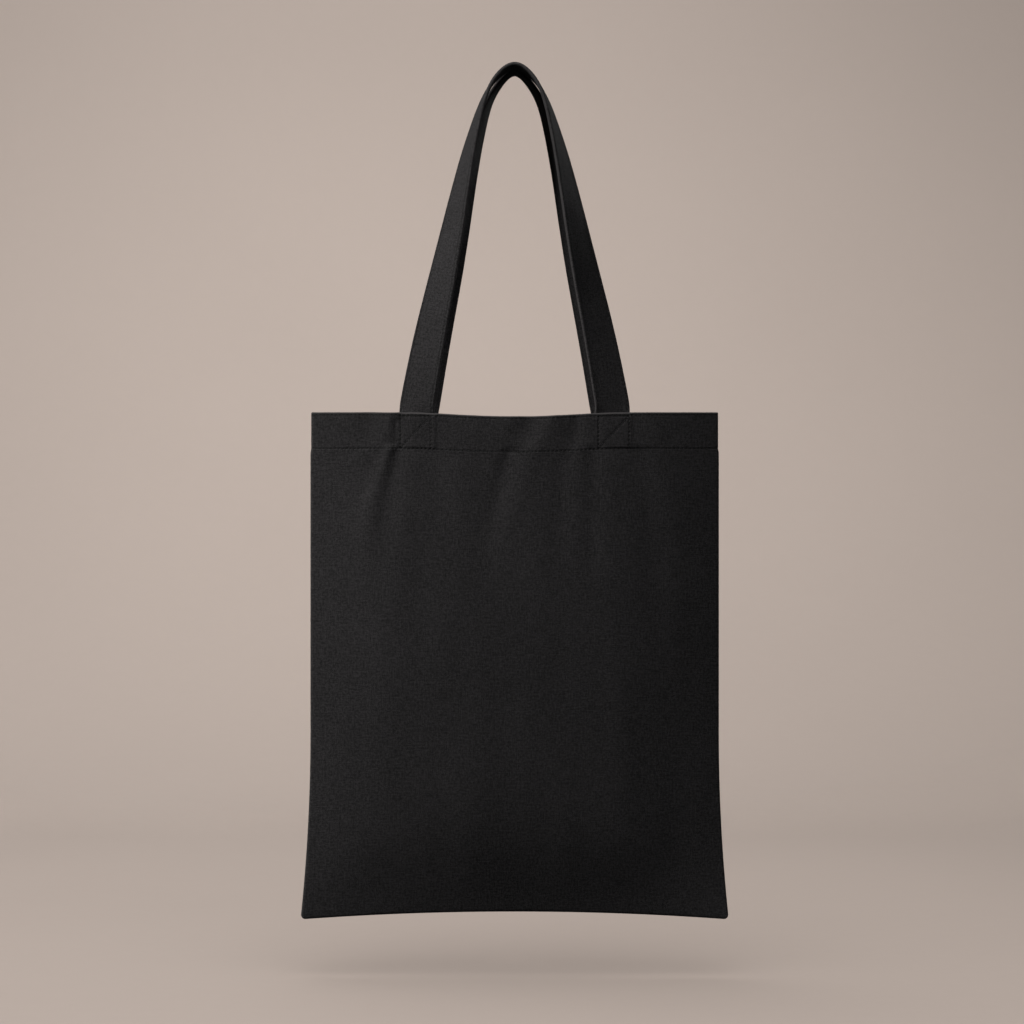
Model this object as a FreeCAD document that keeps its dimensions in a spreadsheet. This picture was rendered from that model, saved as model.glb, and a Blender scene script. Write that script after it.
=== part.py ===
import FreeCAD, Part
import math
import os
import Sketcher

# Canvas tote bag, hanging by its two handles.
# The origin is the hang point, the underside of the two handle tops.
# +Z is up, +X runs across the bag and the front panel faces -Y.

doc = FreeCAD.newDocument("tote_bag")

# Driving dimensions, in mm. A drop is measured down from the hang point for the mouth and the strap,
# and down from the mouth for everything on the bag's body.
driving = {
    "mouth_drop": 282.0,
    "mouth_dip": 3.1,           # the top edge sags this much in its middle
    "mouth_width": 337.0,
    "mouth_bulge": 26.0,        # how far a panel's middle stands out from its side edges
    "hem_end_drop": 40.0,
    "hem_end_width": 337.0,
    "hem_end_bulge": 27.5,
    "belly_drop": 170.0,
    "belly_width": 337.5,
    "belly_bulge": 32.0,
    "flare_drop": 271.0,
    "flare_width": 338.0,
    "flare_bulge": 28.0,
    "low_drop": 358.0,
    "low_width": 344.0,
    "low_bulge": 15.0,
    "base_drop": 420.0,
    "base_width": 355.0,
    "base_bulge": 1.5,
    "base_arch": 6.5,           # the bottom edge rises this much in its middle
    "edge_half": 2.4,           # half the bag's thickness at its side seams
    "cloth": 0.9,
    "ply_gap": 0.1,             # air between two sewn plies
    "hem_depth": 30.0,          # top edge down to the hem's stitch row
    "turn_in": 5.0,             # hem facing that reaches below its stitch row
    "top_row_drop": 2.0,
    "seam_allowance": 10.0,
    "seam_inset": 1.0,          # side edge in to the seam allowance
    "seam_row_inset": 3.0,      # side edge in to the seam's stitch row
    "seam_clear": 2.0,          # hem facing down to the seam allowance
    "overlock_width": 1.4,
    "thread": 0.6,
    "thread_proud": 0.25,
    "strap_width": 30.0,
    "strap_gauge": 3.2,         # four plies of cloth, sewn flat
    "strap_spread": 80.0,       # strap centre, out from the bag's middle
    "strap_row_inset": 2.2,
    "box_width": 26.5,          # the sewn box on each strap end
    "box_drop": 4.6,
    "bend_clear": 1.2,          # top edge up to the free strap
    "knee_drop": 158.0,         # points that the free strap's arch passes through, each a drop and
    "knee_spread": 56.5,        # a spread from the bag's middle
    "shoulder_drop": 68.0,
    "shoulder_spread": 37.4,
    "temple_drop": 24.5,
    "temple_spread": 25.2,
    "crown_drop": 6.0,
    "crown_spread": 13.5,
    "arch_gap": 0.3,            # between the two handles' tops
    "back_inset": 1.2,          # the back handle's legs stand this much nearer the middle
}
sheet = doc.addObject("Spreadsheet::Sheet", "sizes")
for row, (alias, number) in enumerate(driving.items(), start=1):
    sheet.set(f"A{row}", alias)
    sheet.set(f"B{row}", str(number))
    sheet.setAlias(f"B{row}", alias)
doc.recompute()

STANDING = FreeCAD.Rotation(FreeCAD.Vector(1, 0, 0), 90)   # a sketch's x and y to the frame's X and Z
SECTIONS = ("mouth", "hem_end", "belly", "flare", "low", "base")
REACH = 80.0                                               # a cutting prism's run each way along Y
TWIST_POWER = 1.2                                          # the strap turns a little slower near its base
TWIST_EASE = 16                                            # and stops turning over the last of the arch
STRAP_STEPS = 24                                           # steps along each leg of a strap
SQUARE_SHARE = 0.15                                        # the leg's first share, where its width levels


def worth(expression):
    """The number that an expression over the sheet has now."""
    return float(sheet.evalExpression(expression.replace("sizes.", "")))


# ------------------------------------------------------------ outlines between two arcs
def edge_arc(half, ends, sag, sense):
    """An arc from -half to half at height ends, whose middle lies lower (sense 1) or higher (-1) by sag."""
    radius = (half * half + sag * sag) / (2 * sag)
    centre = FreeCAD.Vector(0, ends - sense * (sag - radius), 0)
    tilt = math.asin(half / radius)
    middle = 1.5 * math.pi if sense > 0 else 0.5 * math.pi
    circle = Part.Circle(centre, FreeCAD.Vector(0, 0, 1), radius)
    return Part.ArcOfCircle(circle, middle - tilt, middle + tilt)


def arc_outline(name, half, edges):
    """A closed sketch, even about its Y axis: two upright sides joined by two arcs.

    half is an expression over the sheet. Each of the two edges is the height of its ends, its sag and
    its sense: 1 where the arc's middle lies lower than its ends and -1 where it lies higher.
    """
    sketch = doc.addObject("Sketcher::SketchObject", name)
    reach = worth(half)
    heights = [worth(edge[0]) for edge in edges]
    sides = []
    for x in (-reach, reach):
        start, end = (FreeCAD.Vector(x, height, 0) for height in heights)
        sides.append(sketch.addGeometry(Part.LineSegment(start, end), False))
    left, right = sides
    for point, (height, sag, sense) in enumerate(edges, start=1):
        arc = sketch.addGeometry(edge_arc(reach, worth(height), worth(sag), sense), False)
        left_end, right_end = (1, 2) if sense > 0 else (2, 1)
        sketch.addConstraint(Sketcher.Constraint("Coincident", arc, left_end, left, point))
        sketch.addConstraint(Sketcher.Constraint("Coincident", arc, right_end, right, point))
        sketch.addConstraint(Sketcher.Constraint("PointOnObject", arc, 3, -2))
        radius = sketch.addConstraint(Sketcher.Constraint("Radius", arc, sketch.Geometry[arc].Radius))
        sketch.setExpression(f"Constraints[{radius}]", f"(({half})^2 + ({sag})^2) / (2 * ({sag}))")
        place = Sketcher.Constraint("DistanceY", -1, 1, right, point, worth(height))
        number = sketch.addConstraint(place)
        sketch.setExpression(f"Constraints[{number}]", height)
    for side in sides:
        sketch.addConstraint(Sketcher.Constraint("Vertical", side))
    number = sketch.addConstraint(Sketcher.Constraint("DistanceX", -1, 1, right, 1, reach))
    sketch.setExpression(f"Constraints[{number}]", half)
    return sketch


def prism(sketch, reach=REACH):
    """A sketch stood up in the XZ plane and extruded both ways along Y."""
    sketch.Placement = FreeCAD.Placement(FreeCAD.Vector(0, 0, 0), STANDING)
    solid = doc.addObject("Part::Extrusion", f"{sketch.Name}_prism")
    solid.Base = sketch
    solid.DirMode = "Custom"
    solid.Dir = FreeCAD.Vector(0, 1, 0)
    solid.LengthFwd = reach
    solid.LengthRev = reach
    solid.Solid = True
    return solid


def body_height(drop):
    """The height of something on the bag's body, given the expression for its drop below the mouth."""
    return f"-(sizes.mouth_drop + {drop})"


def row_prism(name, half, upper, lower):
    """A band across the bag between two drops, following the sagging top edge."""
    edges = [(body_height(drop), "sizes.mouth_dip", 1) for drop in (upper, lower)]
    return prism(arc_outline(name, half, edges))


# ------------------------------------------------------------ plies of the front panel
def ply_loft(ply, sections, outer, inner):
    """One ply of the front panel, lofted through crescents from depth outer to depth inner."""
    crescents = []
    for section in sections:
        edges = [(f"-sizes.edge_half + {depth}", f"sizes.{section}_bulge", 1) for depth in (outer, inner)]
        crescent = arc_outline(f"{ply}_{section}", f"sizes.{section}_width / 2", edges)
        drop = "0" if section == "mouth" else f"sizes.{section}_drop"
        crescent.setExpression("Placement.Base.z", body_height(drop))
        crescents.append(crescent)
    loft = doc.addObject("Part::Loft", f"{ply}_ply")
    loft.Sections = crescents
    loft.Solid = True
    return loft


def common(label, *shapes):
    piece = doc.addObject("Part::MultiCommon", label)
    piece.Shapes = list(shapes)
    piece.Label = label
    return piece


def mirrored(source, label, normal):
    """A piece's twin on the other side of the plane through the origin with this normal."""
    twin = doc.addObject("Part::Mirroring", label)
    twin.Source = source
    twin.Normal = normal
    twin.Label = label
    return twin


ACROSS = FreeCAD.Vector(1, 0, 0)
THROUGH = FreeCAD.Vector(0, 1, 0)
LAYERS = ("mouth", "hem_end")
facing_outer = "sizes.cloth + sizes.ply_gap"
facing_inner = "2 * sizes.cloth + sizes.ply_gap"
strap_outer = "2 * sizes.cloth + 2 * sizes.ply_gap"
strap_inner = "2 * sizes.cloth + 2 * sizes.ply_gap + sizes.strap_gauge"

panel_ply = ply_loft("panel", SECTIONS, "0", "sizes.cloth")
facing_ply = ply_loft("facing", LAYERS, facing_outer, facing_inner)
strap_ply = ply_loft("strap", LAYERS, strap_outer, strap_inner)
thread_ply = ply_loft("thread", LAYERS, "-sizes.thread_proud", "0")

front_pieces = {}
body_outline = arc_outline("body_outline", "sizes.base_width / 2", [
    (body_height("0"), "sizes.mouth_dip", 1),
    (body_height("sizes.base_drop"), "sizes.base_arch", -1),
])
front_pieces["panel"] = common("front_panel", panel_ply, prism(body_outline))

facing_half = "sizes.mouth_width / 2 - sizes.seam_inset"
facing_band = row_prism("facing_band", facing_half, "0", "sizes.hem_depth + sizes.turn_in")
front_pieces["hem_facing"] = common("front_hem_facing", facing_ply, facing_band)

row_half = "sizes.mouth_width / 2 - sizes.cloth"
for label, drop in (("hem_stitching", "sizes.hem_depth"), ("top_stitching", "sizes.top_row_drop")):
    band = row_prism(f"{label}_band", row_half, drop, f"{drop} + sizes.thread")
    front_pieces[label] = common(f"front_{label}", thread_ply, band)


# ------------------------------------------------------------ sewn strap ends and their boxes
def bound_box(name, left, width, low, height):
    """A cutting box across the front, from its left side, width, lowest height and height."""
    box = doc.addObject("Part::Box", name)
    for target, expression in (("Placement.Base.x", left), ("Length", width),
                               ("Placement.Base.z", low), ("Height", height)):
        box.setExpression(target, expression)
    box.Width = REACH
    box.Placement.Base.y = -REACH
    return box


end_low = body_height("sizes.hem_depth - sizes.thread")
end_left = "sizes.strap_spread - sizes.strap_width / 2"
end_height = "sizes.hem_depth - sizes.thread - sizes.mouth_dip / 2"
end_box = bound_box("strap_end_box", end_left, "sizes.strap_width", end_low, end_height)
front_pieces["handle_right_end"] = common("front_handle_right_end", strap_ply, end_box)

dip_at_strap = "sizes.mouth_dip * (1 - 4 * sizes.strap_spread^2 / sizes.mouth_width^2)"
box_left = "sizes.strap_spread - sizes.box_width / 2"
box_low = body_height(f"sizes.hem_depth + {dip_at_strap}")
box_height = "(sizes.hem_depth - sizes.box_drop)"
bars = [
    bound_box("box_top_bar", box_left, "sizes.box_width", f"{box_low} + {box_height} - sizes.thread",
              "sizes.thread"),
    bound_box("box_left_bar", box_left, "sizes.thread", box_low, box_height),
    bound_box("box_right_bar", f"{box_left} + sizes.box_width - sizes.thread", "sizes.thread", box_low,
              box_height),
]
diagonal = bound_box("box_diagonal_bar", box_left,
                     f"sqrt(sizes.box_width^2 + {box_height}^2) - sizes.thread", box_low, "sizes.thread")
rise = math.degrees(math.atan2(worth(box_height), worth("sizes.box_width")))
diagonal.Placement.Rotation = FreeCAD.Rotation(FreeCAD.Vector(0, -1, 0), rise)
bars.append(diagonal)
right_bars = doc.addObject("Part::MultiFuse", "right_box_bars")
right_bars.Shapes = bars
front_pieces["right_box_stitch"] = common("front_right_box_stitch", thread_ply, right_bars)

front_pieces["handle_left_end"] = mirrored(front_pieces["handle_right_end"], "front_handle_left_end", ACROSS)
left_bars = doc.addObject("Part::Feature", "left_box_bars")     # one diagonal direction on both boxes
doc.recompute()
left_bars.Shape = right_bars.Shape
left_bars.setExpression("Placement.Base.x", "-2 * sizes.strap_spread")
front_pieces["left_box_stitch"] = common("front_left_box_stitch", thread_ply, left_bars)

pieces = [piece for piece in front_pieces.values()]
for name, piece in front_pieces.items():
    pieces.append(mirrored(piece, f"back_{name}", THROUGH))


# ------------------------------------------------------------ side and bottom seams
def side_band(label, outer_inset, width, half_gauge):
    """A band down the right side seam, between the panels, from below the hem to the bottom edge."""
    top = -worth("mouth_drop + hem_depth + turn_in + seam_clear")
    straight_end = -worth("mouth_drop + flare_drop")
    bottom = -worth("mouth_drop + base_drop - base_arch / 2")
    slope = (worth("base_width") - worth("flare_width")) / 2
    sketch = doc.addObject("Sketcher::SketchObject", f"{label}_outline")
    outer_x = worth(f"belly_width / 2 - ({outer_inset})")
    runs = []
    for x in (outer_x, outer_x - worth(width)):
        radius = ((straight_end - bottom) ** 2 + slope ** 2) / (2 * slope)
        turn = math.asin((straight_end - bottom) / radius)
        circle = Part.Circle(FreeCAD.Vector(x + radius, straight_end, 0), FreeCAD.Vector(0, 0, 1), radius)
        straight = Part.LineSegment(FreeCAD.Vector(x, top, 0), FreeCAD.Vector(x, straight_end, 0))
        flare = Part.ArcOfCircle(circle, math.pi, math.pi + turn)
        runs.append((sketch.addGeometry(straight, False), sketch.addGeometry(flare, False)))
    (outer_line, outer_arc), (inner_line, inner_arc) = runs
    ends = []
    for first, second, point in ((outer_line, inner_line, 1), (outer_arc, inner_arc, 2)):
        start = sketch.getPoint(first, point)
        end = sketch.getPoint(second, point)
        cap = sketch.addGeometry(Part.LineSegment(start, end), False)
        sketch.addConstraint(Sketcher.Constraint("Coincident", cap, 1, first, point))
        sketch.addConstraint(Sketcher.Constraint("Coincident", cap, 2, second, point))
        sketch.addConstraint(Sketcher.Constraint("Horizontal", cap))
        ends.append(cap)
    for line, arc in runs:
        sketch.addConstraint(Sketcher.Constraint("Vertical", line))
        sketch.addConstraint(Sketcher.Constraint("Tangent", line, 2, arc, 1))
        radius = sketch.addConstraint(Sketcher.Constraint("Radius", arc, sketch.Geometry[arc].Radius))
        run = "(sizes.base_drop - sizes.base_arch / 2 - sizes.flare_drop)"
        lean = "((sizes.base_width - sizes.flare_width) / 2)"
        sketch.setExpression(f"Constraints[{radius}]", f"({run}^2 + {lean}^2) / (2 * {lean})")
    for point, target, alias in (
        ((outer_line, 1), "Y", "sizes.hem_depth + sizes.turn_in + sizes.seam_clear"),
        ((outer_line, 2), "Y", "sizes.flare_drop"),
        ((inner_line, 2), "Y", "sizes.flare_drop"),
        ((outer_arc, 2), "Y", "sizes.base_drop - sizes.base_arch / 2"),
    ):
        value = worth(body_height(alias))
        number = sketch.addConstraint(Sketcher.Constraint("DistanceY", -1, 1, *point, value))
        sketch.setExpression(f"Constraints[{number}]", body_height(alias))
    for line, expression in ((outer_line, f"sizes.belly_width / 2 - ({outer_inset})"),
                             (inner_line, f"sizes.belly_width / 2 - ({outer_inset}) - {width}")):
        number = sketch.addConstraint(Sketcher.Constraint("DistanceX", -1, 1, line, 1, worth(expression)))
        sketch.setExpression(f"Constraints[{number}]", expression)
    band = prism(sketch)
    for side in ("LengthFwd", "LengthRev"):
        band.setExpression(side, half_gauge)
    return band


def bottom_band(label, half_inset, low, height, half_gauge):
    """A band along the arched bottom edge, between the panels."""
    drop = "sizes.base_drop"
    edges = [(f"{body_height(drop)} + {low} + {height}", "sizes.base_arch", -1),
             (f"{body_height(drop)} + {low}", "sizes.base_arch", -1)]
    band = prism(arc_outline(f"{label}_outline", f"sizes.base_width / 2 - ({half_inset})", edges))
    for side in ("LengthFwd", "LengthRev"):
        band.setExpression(side, half_gauge)
    return band


allowance_half = "sizes.cloth"                          # two plies of cloth
thread_half = "sizes.cloth + sizes.thread_proud"
seam_bands = {
    "seam_allowance": ("sizes.seam_inset", "sizes.seam_allowance", allowance_half),
    "seam_stitching": ("sizes.seam_row_inset", "sizes.thread", thread_half),
    "seam_overlock": ("sizes.seam_inset + sizes.seam_allowance", "sizes.overlock_width", thread_half),
}
corner_clear = "sizes.seam_inset + sizes.seam_allowance + sizes.overlock_width + 1"
for name, (inset, width, half_gauge) in seam_bands.items():
    right = side_band(f"right_{name}", inset, width, half_gauge)
    right.Label = f"right_{name}"
    pieces.append(right)
    pieces.append(mirrored(right, f"left_{name}", ACROSS))
    bottom = bottom_band(f"bottom_{name}", corner_clear, inset, width, half_gauge)
    bottom.Label = f"bottom_{name}"
    pieces.append(bottom)


# ------------------------------------------------------------ free straps, twisted from leg to arch
def strap_route(side_sign, inset):
    """The line of the strap's middle, from its left base over the arch to its right base."""
    base = (worth("strap_spread"), worth("mouth_drop - bend_clear"))
    points = [base] + [(worth(f"{name}_spread"), worth(f"{name}_drop"))
                       for name in ("knee", "shoulder", "temple", "crown")]
    leg = [FreeCAD.Vector(inset - spread, 0, -drop) for spread, drop in points]
    top = FreeCAD.Vector(0, 0, worth("strap_gauge") / 2)
    other = [FreeCAD.Vector(-point.x, 0, point.z) for point in reversed(leg)]
    route = Part.BSplineCurve()
    route.interpolate(leg + [top] + other)
    base_y = worth(f"edge_half + mouth_bulge * (1 - 4 * strap_spread^2 / mouth_width^2) - {strap_outer}"
                   .replace("sizes.", "")) - worth("strap_gauge") / 2
    arch_y = worth("arch_gap + strap_width") / 2
    return route, side_sign * base_y, side_sign * arch_y


def strap_sections(side_sign, inset, across, gauge):
    """Rectangles along the strap, from across[0] to across[1] of its width and gauge thick."""
    route, base_y, arch_y = strap_route(side_sign, inset)
    wires = []
    for step in range(2 * STRAP_STEPS + 1):
        share = 1 - abs(step / STRAP_STEPS - 1)                 # 0 at a base and 1 at the arch's top
        parameter = route.parameterAtDistance(route.length() * step / (2 * STRAP_STEPS))
        centre = route.value(parameter)
        centre.y = base_y + (arch_y - base_y) * share
        run = FreeCAD.Vector(*route.tangent(parameter)[0])
        level = FreeCAD.Vector(0, 0, 1 if step < STRAP_STEPS else -1)
        squared = min(1, share / SQUARE_SHARE)
        inward = FreeCAD.Vector(0, 1, 0).cross(run * squared + level * (1 - squared)).normalize()
        outward = FreeCAD.Vector(0, side_sign, 0)
        ease = TWIST_POWER / TWIST_EASE
        turn = math.radians(90) * share ** TWIST_POWER * (1 + ease - ease * share ** TWIST_EASE)
        width_way = inward * math.cos(turn) + outward * math.sin(turn)
        face_way = outward * math.cos(turn) - inward * math.sin(turn)
        corners = []
        for width, face in ((across[0], -1), (across[1], -1), (across[1], 1), (across[0], 1)):
            corners.append(centre + width_way * width + face_way * (face * gauge / 2))
        wires.append(Part.makePolygon(corners + corners[:1]))
    return wires


def strap_piece(label, side_sign, inset, across, gauge):
    """A strap, or a thread through it, ruled from section to section."""
    piece = doc.addObject("Part::Feature", label)
    piece.Shape = Part.makeLoft(strap_sections(side_sign, inset, across, gauge), True, True)
    piece.Label = label
    return piece


edge = worth("strap_width") / 2
row = edge - worth("strap_row_inset")
threaded = worth("strap_gauge + 2 * thread_proud")
for side, side_sign, inset in (("front", -1, 0.0), ("back", 1, worth("back_inset"))):
    pieces.append(strap_piece(f"{side}_handle", side_sign, inset, (-edge, edge), worth("strap_gauge")))
    for name, place in (("outer", -row), ("inner", row)):
        half = worth("thread") / 2
        pieces.append(strap_piece(f"{side}_handle_{name}_stitching", side_sign, inset,
                                  (place - half, place + half), threaded))

# ------------------------------------------------------------ checks and files
doc.recompute()
for item in doc.Objects:
    if "Invalid" in item.State or "Error" in item.State:
        raise RuntimeError(f"{item.Name} failed: {item.State}")
for piece in pieces:
    if piece.Shape.isNull() or not piece.Shape.isValid() or piece.Shape.Volume <= 0:
        raise RuntimeError(f"{piece.Label} has no valid solid")
    box = piece.Shape.BoundBox
    print(f"{piece.Label}: {piece.Shape.Volume / 1000:.2f} cm3, {len(piece.Shape.Solids)} solid(s), "
          f"x {box.XMin:.1f}..{box.XMax:.1f}, y {box.YMin:.1f}..{box.YMax:.1f}, "
          f"z {box.ZMin:.1f}..{box.ZMax:.1f}")

os.makedirs("parts", exist_ok=True)
for piece in pieces:
    piece.Shape.exportStep(f"parts/{piece.Label}.step")
print(len(pieces), "sub-parts written")
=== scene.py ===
import math

import bpy
import numpy as np
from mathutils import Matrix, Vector


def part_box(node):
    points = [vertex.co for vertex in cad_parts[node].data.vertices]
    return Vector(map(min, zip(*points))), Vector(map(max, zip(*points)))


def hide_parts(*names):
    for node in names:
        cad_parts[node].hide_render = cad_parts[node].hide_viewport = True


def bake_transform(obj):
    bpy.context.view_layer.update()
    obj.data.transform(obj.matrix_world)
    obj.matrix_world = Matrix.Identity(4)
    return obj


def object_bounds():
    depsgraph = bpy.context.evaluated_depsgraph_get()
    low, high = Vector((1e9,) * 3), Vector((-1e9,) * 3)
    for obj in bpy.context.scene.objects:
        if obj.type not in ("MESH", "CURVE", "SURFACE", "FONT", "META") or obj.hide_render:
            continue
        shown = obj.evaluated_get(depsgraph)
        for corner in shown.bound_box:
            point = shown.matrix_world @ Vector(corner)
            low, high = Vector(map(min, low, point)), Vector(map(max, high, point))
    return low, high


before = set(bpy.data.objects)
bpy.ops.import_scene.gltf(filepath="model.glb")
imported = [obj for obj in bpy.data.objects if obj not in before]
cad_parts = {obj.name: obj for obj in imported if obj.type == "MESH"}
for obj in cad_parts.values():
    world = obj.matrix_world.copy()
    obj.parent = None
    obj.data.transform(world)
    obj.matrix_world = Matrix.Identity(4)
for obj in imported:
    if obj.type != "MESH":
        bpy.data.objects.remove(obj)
cadLow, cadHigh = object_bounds()
panelLow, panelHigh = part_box("front_panel")

# Everything is in metres: +Z up, the front of the bag faces -Y, the hang point is the origin.


class Wire:                                     # a shader socket that takes sums, products and powers
    def __init__(self, mill, socket):
        self.mill = mill
        self.socket = socket

    def __add__(self, other):
        return self.mill.math("ADD", self, other)

    def __sub__(self, other):
        return self.mill.math("SUBTRACT", self, other)

    def __rsub__(self, other):
        return self.mill.math("SUBTRACT", other, self)

    def __mul__(self, other):
        return self.mill.math("MULTIPLY", self, other)

    def __pow__(self, other):
        return self.mill.math("POWER", self, other)

    __radd__ = __add__
    __rmul__ = __mul__


class Mill:                                     # one material and the nodes in it
    def __init__(self, name):
        self.material = bpy.data.materials.new(name)
        self.material.use_nodes = True
        self.tree = self.material.node_tree
        self.tree.nodes.clear()

    def make(self, kind, settings=None, sockets=None, out=0):
        node = self.tree.nodes.new("ShaderNode" + kind)
        for key, value in (settings or {}).items():
            setattr(node, key, value)
        for key, value in (sockets or {}).items():
            if isinstance(value, Wire):
                self.tree.links.new(value.socket, node.inputs[key])
            else:
                node.inputs[key].default_value = value
        return Wire(self, node.outputs[out]) if node.outputs else node

    def math(self, operation, first, second=0.0, clamp=False):
        return self.make("Math", {"operation": operation, "use_clamp": clamp}, {0: first, 1: second})

    def mixColour(self, factor, first, second):
        return self.make("Mix", {"data_type": "RGBA"}, {0: factor, 6: first, 7: second}, out=2)

    def noise(self, vector, scale, detail=2.0, roughness=0.5):
        return self.make("TexNoise", {}, {"Vector": vector, "Scale": scale, "Detail": detail,
                                          "Roughness": roughness})

    def stretched(self, vector, scale):
        return self.make("VectorMath", {"operation": "MULTIPLY"}, {0: vector, 1: scale})

    def smooth(self, value, low, high):
        return self.make("MapRange", {"interpolation_type": "SMOOTHSTEP"}, {0: value, 1: low, 2: high})

    def bump(self, height, strength, distance, normal=None):
        sockets = {"Strength": strength, "Distance": distance, "Height": height}
        if normal is not None:
            sockets["Normal"] = normal
        return self.make("Bump", {}, sockets)

    def finish(self, sockets):
        shader = self.make("BsdfPrincipled", {}, sockets)
        self.make("OutputMaterial", {}, {"Surface": shader})
        return self.material


clothFinish = {
    "pitch": 0.00082,            # thread to thread
    "wander": 0.0009,            # how far a thread strays from its line
    "slubs": (1050.0, 110.0),    # how fast the shade changes across and along a thread
    "grain": 560.0,
    "fine": 1500.0,
    "cloud": 11.0,
    "slubShare": 0.9,
    "grainShare": 1.1,
    "fineShare": 0.5,
    "cloudShare": 0.22,
    "dark": (0.0082, 0.0077, 0.0081, 1),
    "light": (0.0485, 0.0452, 0.0476, 1),
    # pale colour of rubbed wear, also a painted highlight along the mouth and the strap edges
    "wearAndPaintedLight": (0.075, 0.070, 0.071, 1),
    # painted shade: the colour of the hollows between threads and of the sewing's grooves
    "gap": (0.0035, 0.0034, 0.0034, 1),
    "gapShadeShare": 0.45,            # how strongly painted shade darkens the hollows between threads
    "lint": (0.17, 0.165, 0.16, 1),
    "lintShare": 0.35,
    "sewnGrooveShade": 1.0,             # how dark the painted shade is where sewing draws the cloth in
    "contrast": 2.35,            # how far the threads differ in shade
    "roughness": 0.90,
    "sheen": 0.06,
    "sheenTint": (0.9, 0.89, 0.88, 1),
    "weaveDepth": 0.00034,
    "creaseDepth": 0.003,
}


def wovenCloth(name, tone=0.5):
    mill = Mill(name)
    flat = mill.make("UVMap", {"uv_map": "UVMap"})
    drift = mill.noise(flat, 55.0) * clothFinish["wander"]
    across = mill.make("SeparateXYZ", {}, {0: flat})
    down = mill.make("SeparateXYZ", {}, {0: flat}, out=1)
    warp = mill.math("SINE", (across + drift) * (math.pi / clothFinish["pitch"]))
    weft = mill.math("SINE", (down + drift) * (math.pi / clothFinish["pitch"]))
    crossing = mill.math("ABSOLUTE", warp * weft) ** 0.6
    over = mill.smooth(warp * weft, -0.2, 0.2)      # which of the two threads lies on top
    acrossThread, alongThread = clothFinish["slubs"]
    warpShade = mill.noise(mill.stretched(flat, (acrossThread, alongThread, 1.0)), 1.0)
    weftShade = mill.noise(mill.stretched(flat, (alongThread, acrossThread, 1.0)), 1.0)
    slub = weftShade * over + warpShade * (1 - over)
    grain = mill.noise(flat, clothFinish["grain"], 3.0, 0.65)
    fine = mill.noise(flat, clothFinish["fine"], 2.0, 0.6)
    cloudy = mill.noise(flat, clothFinish["cloud"], 4.0, 0.6)
    shade = ((slub - 0.5) * clothFinish["slubShare"] + (grain - 0.5) * clothFinish["grainShare"]
             + (fine - 0.5) * clothFinish["fineShare"] + (cloudy - 0.5) * clothFinish["cloudShare"])
    depth = mill.math("ADD", shade * clothFinish["contrast"], tone, clamp=True)
    colour = mill.mixColour(depth, clothFinish["dark"], clothFinish["light"])
    # pale where the edges are rubbed, plus a painted highlight along the mouth and the strap edges
    wearAndLightValue = mill.make("Attribute", {"attribute_name": "wearAndPaintedLight"}, {}, out=2)
    paleEdgeShare = mill.smooth(wearAndLightValue + shade * 0.8, 0.15, 1.0)
    colour = mill.mixColour(paleEdgeShare, colour, clothFinish["wearAndPaintedLight"])
    # painted shade in the hollows between threads
    colour = mill.mixColour((1 - crossing) * clothFinish["gapShadeShare"], colour, clothFinish["gap"])
    # painted shade in the grooves where sewing draws the cloth in
    grooveShade = mill.math("MULTIPLY", wearAndLightValue, -clothFinish["sewnGrooveShade"], clamp=True)
    colour = mill.mixColour(grooveShade, colour, clothFinish["gap"])
    hairs = mill.noise(mill.stretched(flat, (700.0, 1300.0, 1.0)), 1.0, 3.0, 0.65)
    lint = mill.smooth(hairs, 0.66, 0.84) * clothFinish["lintShare"]
    colour = mill.mixColour(lint, colour, clothFinish["lint"])
    rough = clothFinish["roughness"] + (grain - 0.5) * 0.15
    creased = mill.bump(cloudy, 0.25, clothFinish["creaseDepth"])
    relief = crossing * 0.6 + slub * 0.6 + grain * 0.6
    threaded = mill.bump(relief, 0.85, clothFinish["weaveDepth"], creased)
    return mill.finish({"Base Color": colour, "Roughness": rough, "Normal": threaded,
                        "Specular IOR Level": 0.22, "Sheen Weight": clothFinish["sheen"],
                        "Sheen Roughness": 0.5, "Sheen Tint": clothFinish["sheenTint"]})


threadFinish = {
    "dye": (0.0050, 0.0049, 0.0049, 1),
    # the lighter shade, a painted highlight on the ply's twist crests
    "lit": (0.020, 0.0195, 0.0193, 1),
    "twists": 2.6,               # turns of the ply in one stitch
    "plyDepth": 0.0001,
}


def shaded(colour, brightness):
    return [channel * brightness for channel in colour[:3]] + [1]


def sewingThread(name, brightness=1.0, roughness=0.55):
    mill = Mill(name)
    flat = mill.make("UVMap", {"uv_map": "UVMap"})
    around = mill.make("SeparateXYZ", {}, {0: flat})
    along = mill.make("SeparateXYZ", {}, {0: flat}, out=1)
    ply = mill.math("SINE", (along * threadFinish["twists"] + around) * (2 * math.pi))
    fuzz = mill.noise(flat, 14.0, 3.0)
    lit = shaded(threadFinish["lit"], brightness)
    # lighter in random fuzz patches and on the ply's twist crests, the latter a painted highlight
    colour = mill.mixColour(mill.smooth(ply * 0.4 + fuzz, 0.2, 1.0), threadFinish["dye"], lit)
    twisted = mill.bump(ply * 0.6 + fuzz * 0.4, 0.6, threadFinish["plyDepth"])
    return mill.finish({"Base Color": colour, "Roughness": roughness + (fuzz - 0.5) * 0.2,
                        "Normal": twisted, "Specular IOR Level": 0.35})


canvas = wovenCloth("BlackCanvas")
strapCloth = wovenCloth("StrapCanvas", tone=0.55)
thread = sewingThread("SewingThread")
looperThread = sewingThread("OverlockThread", 1.3, 0.75)
print("materials woven")
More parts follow.
